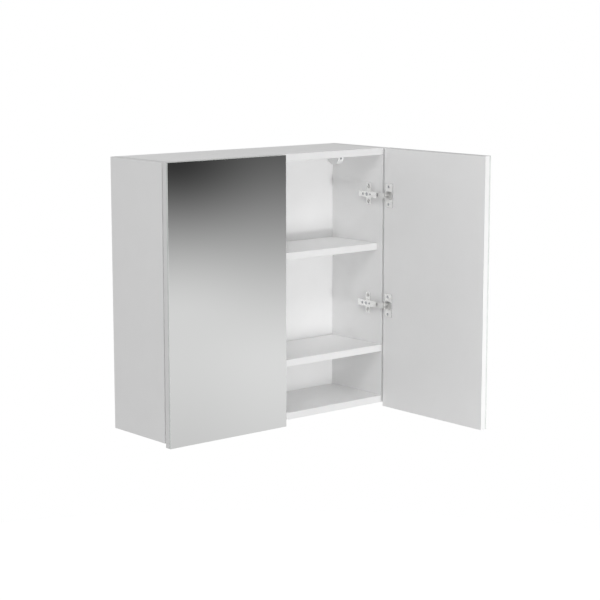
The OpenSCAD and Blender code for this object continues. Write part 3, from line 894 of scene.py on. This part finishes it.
@dataclass
class Studio:
    """A white studio: pale floor, even sky, three soft lamps and the camera."""

    # Camera, placed from the photograph's perspective
    camera_place: Triple = (-2.2305, -2.8704, 0.2775)
    camera_yaw: float = math.radians(-40.26)
    camera_pitch: float = math.radians(-9.291)
    lens: float = 102.436
    sensor: float = 36.0
    # Floor
    floor_drop: float = 1.25
    floor_radius: float = 3.5
    floor_sides: int = 96
    floor_tone: float = 0.8
    floor_tone_spread: float = 0.01
    floor_cloud_size: float = 0.4
    floor_roughness: float = 0.9
    # What the floor adds to its own light, as the camera and as gloss see it
    floor_lift_seen: float = 0.58
    floor_lift_mirrored: float = 0.2
    # Lamps: two small ones low in front of the open half, and a wide one high up at the left
    lamps: tuple[Softbox, ...] = (
        Softbox("front_lamp", (0.12, -2.3, -0.46), (0.1, 0.0, -0.28), 0.16, 12.3),
        Softbox("low_lamp", (-0.02, -1.8, -0.62), (0.1, 0.0, -0.4), 0.3, 4.5),
        Softbox("high_lamp", (-1.4, -1.95, 1.5), (0.1, 0.0, -0.28), 1.4, 18.6),
    )

    def build(self) -> None:
        """Makes the floor, the world, the lamps and the camera."""
        self.build_floor()
        self.build_world()
        for lamp in self.lamps:
            lamp.hang()
        self.build_camera()

    def build_floor(self) -> None:
        """Lays a round pale floor below the cabinet."""
        mesh = bmesh.new()
        bmesh.ops.create_circle(mesh, cap_ends=True, segments=self.floor_sides, radius=self.floor_radius)
        bmesh.ops.translate(mesh, verts=mesh.verts, vec=Vector((0, 0, cad_low.z - self.floor_drop)))
        data = bpy.data.meshes.new("floor")
        mesh.to_mesh(data)
        mesh.free()
        data.materials.append(self.floor_finish())
        floor = bpy.data.objects.new("floor", data)
        bpy.context.scene.collection.objects.link(floor)
        LOG.info("%s: laid", floor.name)

    def floor_finish(self) -> bpy.types.Material:
        """Makes the floor's material: pale and matt, lifted to white for the camera.

        Returns:
            The material.
        """
        tree = ShaderTree("pale_floor")
        clouds = tree.noise(tree.place(), self.floor_cloud_size)
        low, high = grey(self.floor_tone - self.floor_tone_spread), grey(self.floor_tone)
        light_path = tree.nodes.new("ShaderNodeLightPath")
        seen = tree.span(light_path.outputs["Is Camera Ray"], 0.0, self.floor_lift_seen)
        mirrored = tree.span(light_path.outputs["Is Glossy Ray"], 0.0, self.floor_lift_mirrored)
        lift = tree.nodes.new("ShaderNodeMath")
        lift.operation = "ADD"
        tree.links.new(seen, lift.inputs[0])
        tree.links.new(mirrored, lift.inputs[1])
        tree.set(Roughness=self.floor_roughness, Emission_Color=WHITE)
        tree.feed(
            Base_Color=tree.tones(clouds, (0.0, 1.0), (low, high)),
            Emission_Strength=lift.outputs["Value"],
        )
        return tree.material

    def build_world(self) -> None:
        """Makes the sky: plain for matt surfaces, white for the camera, banded for gloss."""
        world = bpy.data.worlds.new("studio")
        bpy.context.scene.world = world
        world.use_nodes = True
        SkyTree(world).build()

    def build_camera(self) -> None:
        """Sets up the camera at the photograph's viewing angle."""
        data = bpy.data.cameras.new("camera")
        data.lens = self.lens
        data.sensor_width = self.sensor
        camera = bpy.data.objects.new("camera", data)
        camera.location = self.camera_place
        # An unturned camera looks straight down, so a quarter turn makes it level
        camera.rotation_euler = (math.radians(90) + self.camera_pitch, 0.0, self.camera_yaw)
        bpy.context.scene.collection.objects.link(camera)
        bpy.context.scene.camera = camera


@dataclass(frozen=True)
class HorizonEdge:
    """The soft edge between the dark horizon and the pale ground.

    It has a tone on each side, and starts and ends at so many degrees below the horizon.
    """

    dark: float
    pale: float
    start: float
    end: float


class SkyTree:
    """The world's nodes."""

    # Light on matt surfaces: the same from everywhere, and a fill from behind
    EVEN = 0.43
    FILL = 0.65
    FILL_FROM = (0.0, 1.0, 0.0)
    FILL_POWER = 2.0
    # What the camera sees
    SEEN = 1.0
    # What gloss shows, at the two ends of the closed mirror
    LEFT_EDGE = HorizonEdge(dark=0.035, pale=0.69, start=4.6, end=9.9)
    RIGHT_EDGE = HorizonEdge(dark=0.09, pale=0.74, start=3.6, end=11.6)
    # Bearings of those ends from the front, in degrees
    LEFT_BEARING = 36.0
    RIGHT_BEARING = 39.7
    # The ground darkens a little towards the viewer, in degrees below the horizon
    FALL_START = 11.0
    FALL_END = 15.5
    FALL = 0.1
    # Towards the left, which only the hinges mirror, it is pale; by the ray's X
    PALE_START = -0.7
    PALE_END = -0.9
    PALE_TONE = 0.85
    # The upper end of the dark band, in degrees above the horizon
    UPPER_START = 3.0
    UPPER_END = 30.0
    UPPER_TONE = 0.9

    def __init__(self, world: bpy.types.World) -> None:
        """Opens the world's tree.

        Args:
            world: The world to build in.
        """
        self.nodes = world.node_tree.nodes
        self.links = world.node_tree.links
        self.nodes.clear()
        self.ray = self.nodes.new("ShaderNodeTexCoord").outputs["Generated"]

    def fill(self, place: Socket, value: Socket | float) -> None:
        """Gives an input its value.

        Args:
            place: The input.
            value: A number, or the output to link to it.
        """
        if isinstance(value, (int, float)):
            place.default_value = value
        else:
            self.links.new(value, place)

    def work_out(self, operation: str, first: Socket | float, second: Socket | float = 0.0) -> Socket:
        """Adds one step of arithmetic.

        Args:
            operation: The Math node's operation.
            first: Its first value.
            second: Its second value, for operations that have one.

        Returns:
            The result.
        """
        node = self.nodes.new("ShaderNodeMath")
        node.operation = operation
        self.fill(node.inputs[0], first)
        self.fill(node.inputs[1], second)
        return node.outputs["Value"]

    def mixed(self, share: Socket, first: Socket | float, second: Socket | float) -> Socket:
        """Blends two values.

        Args:
            share: The share of the second value.
            first: The first value.
            second: The second value.

        Returns:
            The blend.
        """
        node = self.nodes.new("ShaderNodeMix")
        node.data_type = "FLOAT"
        self.fill(node.inputs["Factor"], share)
        self.fill(node.inputs["A"], first)
        self.fill(node.inputs["B"], second)
        return node.outputs["Result"]

    def ease_in(self, value: Socket, start: float, end: float,
                low: float = 0.0, high: float = 1.0) -> Socket:
        """Adds a smooth step.

        Args:
            value: The value that drives the step.
            start: Value at which it starts.
            end: Value at which it ends.
            low: Result at the start.
            high: Result at the end.

        Returns:
            The result.
        """
        node = self.nodes.new("ShaderNodeMapRange")
        node.interpolation_type = "SMOOTHSTEP"
        for name, number in (("From Min", start), ("From Max", end), ("To Min", low), ("To Max", high)):
            node.inputs[name].default_value = number
        self.links.new(value, node.inputs["Value"])
        return node.outputs["Result"]

    def plain_tone(self) -> Socket:
        """Works out the light on matt surfaces.

        Returns:
            The tone.
        """
        facing = self.nodes.new("ShaderNodeVectorMath")
        facing.operation = "DOT_PRODUCT"
        facing.inputs[1].default_value = self.FILL_FROM
        self.links.new(self.ray, facing.inputs[0])
        towards = self.work_out("MAXIMUM", facing.outputs["Value"], 0.0)
        share = self.work_out("POWER", towards, self.FILL_POWER)
        return self.work_out("ADD", self.work_out("MULTIPLY", share, self.FILL), self.EVEN)

    def mirrored_tone(self) -> Socket:
        """Works out what gloss shows: a dark horizon with pale ground below and a pale sky above.

        Returns:
            The tone.
        """
        parts = self.nodes.new("ShaderNodeSeparateXYZ")
        self.links.new(self.ray, parts.inputs["Vector"])
        rightwards, backwards, upwards = parts.outputs
        height = self.work_out("DEGREES", self.work_out("ARCSINE", upwards))
        below = self.work_out("MULTIPLY", height, -1.0)
        forwards = self.work_out("MULTIPLY", backwards, -1.0)
        bearing = self.work_out("DEGREES", self.work_out("ARCTAN2", rightwards, forwards))
        across = self.ease_in(bearing, self.LEFT_BEARING, self.RIGHT_BEARING)
        edges = [
            self.ease_in(below, edge.start, edge.end, edge.dark, edge.pale)
            for edge in (self.LEFT_EDGE, self.RIGHT_EDGE)
        ]
        fall = self.ease_in(below, self.FALL_START, self.FALL_END, high=self.FALL)
        ground = self.work_out("SUBTRACT", self.mixed(across, *edges), fall)
        above = self.ease_in(height, self.UPPER_START, self.UPPER_END)
        leftwards = self.ease_in(rightwards, self.PALE_END, self.PALE_START, 1.0, 0.0)
        return self.mixed(leftwards, self.mixed(above, ground, self.UPPER_TONE), self.PALE_TONE)

    def build(self) -> None:
        """Joins the tones for the kinds of ray into the background."""
        path = self.nodes.new("ShaderNodeLightPath")
        tone = self.mixed(path.outputs["Is Glossy Ray"], self.plain_tone(), self.mirrored_tone())
        seen = self.work_out("MAXIMUM", path.outputs["Is Camera Ray"], path.outputs["Is Transmission Ray"])
        background = self.nodes.new("ShaderNodeBackground")
        background.inputs["Color"].default_value = WHITE
        self.links.new(self.mixed(seen, tone, self.SEEN), background.inputs["Strength"])
        output = self.nodes.new("ShaderNodeOutputWorld")
        self.links.new(background.outputs["Background"], output.inputs["Surface"])


def main() -> None:
    """Builds the sub-assemblies and the studio in order."""
    logging.basicConfig(level=logging.INFO, format="%(name)s: %(message)s")
    bpy.context.scene.view_settings.view_transform = "Standard"
    finishes = Finishes()
    carcass = Carcass(finishes)
    carcass.build()
    carcass.dress()
    shelving = Shelving(finishes)
    shelving.build()
    shelving.dress()
    for side in Side:
        Hanger(finishes, side).build()
        Door(finishes, side).build()
        for level in Level:
            CupHinge(finishes, side, level).build()
    SmallParts(finishes).dress()
    Studio().build()


if __name__ == "__main__":
    main()
